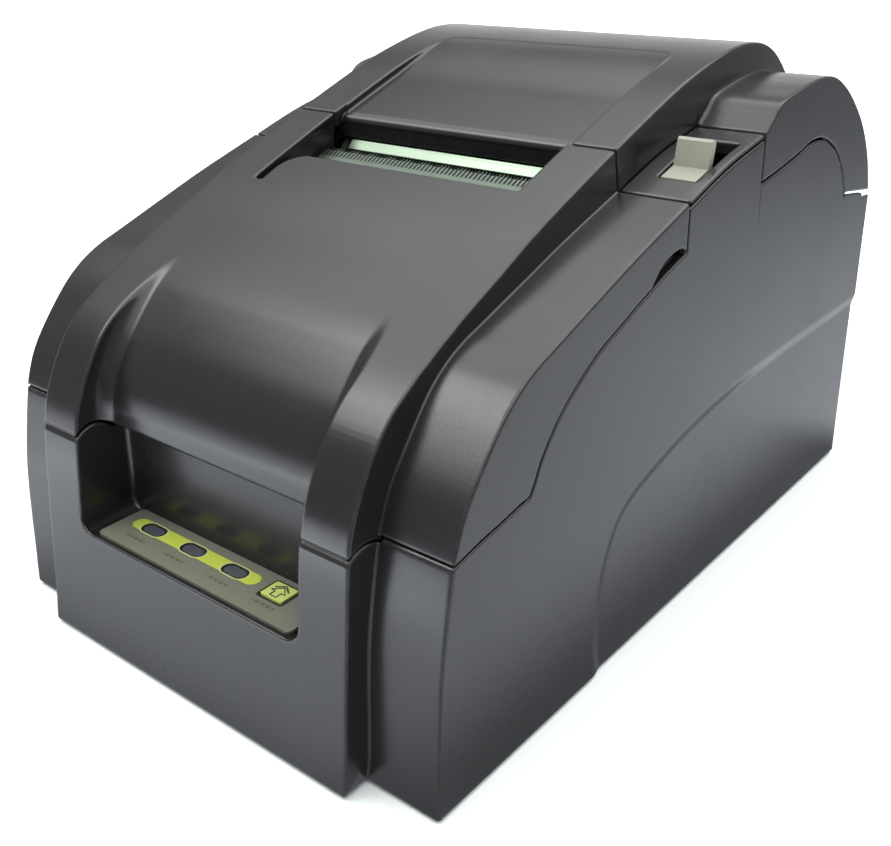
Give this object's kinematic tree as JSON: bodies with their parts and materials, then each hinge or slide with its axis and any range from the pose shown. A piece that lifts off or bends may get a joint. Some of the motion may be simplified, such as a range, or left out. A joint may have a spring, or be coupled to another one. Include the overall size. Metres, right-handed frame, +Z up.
{
  "type": "receipt printer",
  "caption": "Desktop impact receipt printer with a tipping front cover, a hinged roll cover, a release lever, a control strip and a complete moving print mechanism.",
  "frame": {"origin": "bottom centre of the printer's bounding box, on the plane of the rubber feet", "axes": "+X to the right seen from the front, +Y towards the rear connectors, +Z up"},
  "size_m": [0.16, 0.248, 0.1545],
  "materials": {
    "case_black": "semi-gloss moulded plastic with a very fine texture",
    "inner_black": "matte moulded plastic",
    "lever_white": "smooth off-white moulded plastic",
    "label_grey": "satin printed film on plastic",
    "lens_dark": "dark translucent lamp window",
    "button_lime": "lime green plastic",
    "steel": "zinc plated sheet steel",
    "bright_steel": "polished bright strip",
    "shaft_steel": "ground shaft",
    "head_alu": "die-cast head with cooling fins",
    "motor_metal": "motor can",
    "gear_cream": "moulded acetal",
    "brass": "turned brass",
    "rubber": "black rubber",
    "ribbon": "inked nylon ribbon",
    "pcb": "solder-masked board",
    "chips": "moulded components"
  },
  "bodies": {
    "chassis": {"main_case": "case_black", "base_plate": "inner_black", "inner_frame": "inner_black", "front_hinge_pins": "shaft_steel", "rear_hinge_pins": "shaft_steel", "lever_shaft": "steel", "lever_spring": "shaft_steel", "control_panel": "label_grey", "led_lenses": "lens_dark", "panel_board": "pcb", "tear_bar": "steel", "mech_side_left": "steel", "mech_side_right": "steel", "mech_base": "steel", "guide_shaft": "shaft_steel", "rear_rail": "steel", "ribbon_cassette": "chips", "ribbon_band": "ribbon", "carriage_motor": "motor_metal", "drive_belt": "rubber", "feed_motor": "motor_metal", "main_board": "pcb", "board_chips": "chips", "rear_plate": "steel", "interface_socket": "steel", "jack_screws": "brass", "drawer_jack": "chips", "power_jack": "chips", "switch_body": "chips", "rubber_feet": "rubber", "case_screws": "shaft_steel"},
    "front_cover": {"front_cover": "case_black"},
    "roll_cover": {"roll_cover": "case_black", "guide_plate": "bright_steel", "platen_bar": "steel", "cover_bracket": "inner_black", "pinch_shaft": "shaft_steel"},
    "release_lever": {"release_lever": "lever_white"},
    "feed_button": {"feed_button": "button_lime"},
    "pinch_rollers": {"pinch_rollers": "rubber"},
    "carriage": {"carriage": "inner_black", "print_head": "head_alu"},
    "ribbon_knob": {"ribbon_knob": "lever_white"},
    "drive_pulley": {"drive_pulley": "gear_cream"},
    "idler_pulley": {"idler_pulley": "gear_cream"},
    "paper_feed": {"feed_shaft": "shaft_steel", "feed_rollers": "rubber", "feed_gear": "gear_cream"},
    "transfer_gear": {"transfer_gear": "gear_cream"},
    "motor_pinion": {"motor_pinion": "brass"},
    "power_rocker": {"power_rocker": "inner_black"}
  },
  "joints": [
    {"name": "front_cover_hinge", "type": "hinge", "parent": "chassis", "child": "front_cover", "pos_m": [0, -0.113, 0.057], "axis": [1, 0, 0], "range_deg": [0, 62]},
    {"name": "roll_cover_hinge", "type": "hinge", "parent": "chassis", "child": "roll_cover", "pos_m": [0, 0.1206, 0.1017], "axis": [-1, 0, 0], "range_deg": [0, 95]},
    {"name": "release_lever_pivot", "type": "hinge", "parent": "chassis", "child": "release_lever", "pos_m": [0.071, 0.012, 0.089], "axis": [-1, 0, 0], "range_deg": [0, 15], "stiffness_Nm_per_rad": 0.05},
    {"name": "feed_button_press", "type": "slide", "parent": "chassis", "child": "feed_button", "axis": [0, 0, -1], "range_m": [0, 0.0006], "stiffness_N_per_m": 300},
    {"name": "pinch_roller_spin", "type": "hinge", "parent": "roll_cover", "child": "pinch_rollers", "pos_m": [0, -0.0093, 0.111], "axis": [1, 0, 0], "continuous": true},
    {"name": "carriage_travel", "type": "slide", "parent": "chassis", "child": "carriage", "axis": [1, 0, 0], "range_m": [-0.031, 0.031]},
    {"name": "ribbon_knob_spin", "type": "hinge", "parent": "chassis", "child": "ribbon_knob", "pos_m": [0.03, -0.068, 0.1], "axis": [0, 0, 1], "continuous": true},
    {"name": "drive_pulley_spin", "type": "hinge", "parent": "chassis", "child": "drive_pulley", "pos_m": [-0.0395, -0.052, 0.076], "axis": [0, 1, 0], "range_deg": [-400, 400]},
    {"name": "idler_pulley_spin", "type": "hinge", "parent": "chassis", "child": "idler_pulley", "pos_m": [0.04, -0.052, 0.076], "axis": [0, 1, 0], "range_deg": [-400, 400]},
    {"name": "paper_feed_spin", "type": "hinge", "parent": "chassis", "child": "paper_feed", "pos_m": [0, -0.0196, 0.111], "axis": [1, 0, 0], "continuous": true},
    {"name": "transfer_gear_spin", "type": "hinge", "parent": "chassis", "child": "transfer_gear", "pos_m": [0.053, -0.03, 0.09299], "axis": [1, 0, 0], "continuous": true},
    {"name": "motor_pinion_spin", "type": "hinge", "parent": "chassis", "child": "motor_pinion", "pos_m": [0.053, -0.02708, 0.07644], "axis": [1, 0, 0], "continuous": true},
    {"name": "power_rocker_tilt", "type": "hinge", "parent": "chassis", "child": "power_rocker", "pos_m": [-0.0754, -0.086, 0.0285], "axis": [0, 0, -1], "range_deg": [0, 16]}
  ],
  "couplings": [
    {"joint": "drive_pulley_spin", "follows": "carriage_travel", "rad_per_m": 219.3},
    {"joint": "idler_pulley_spin", "follows": "carriage_travel", "rad_per_m": 219.3},
    {"joint": "transfer_gear_spin", "follows": "paper_feed_spin", "ratio": -0.73333},
    {"joint": "motor_pinion_spin", "follows": "paper_feed_spin", "ratio": 1.8333}
  ]
}
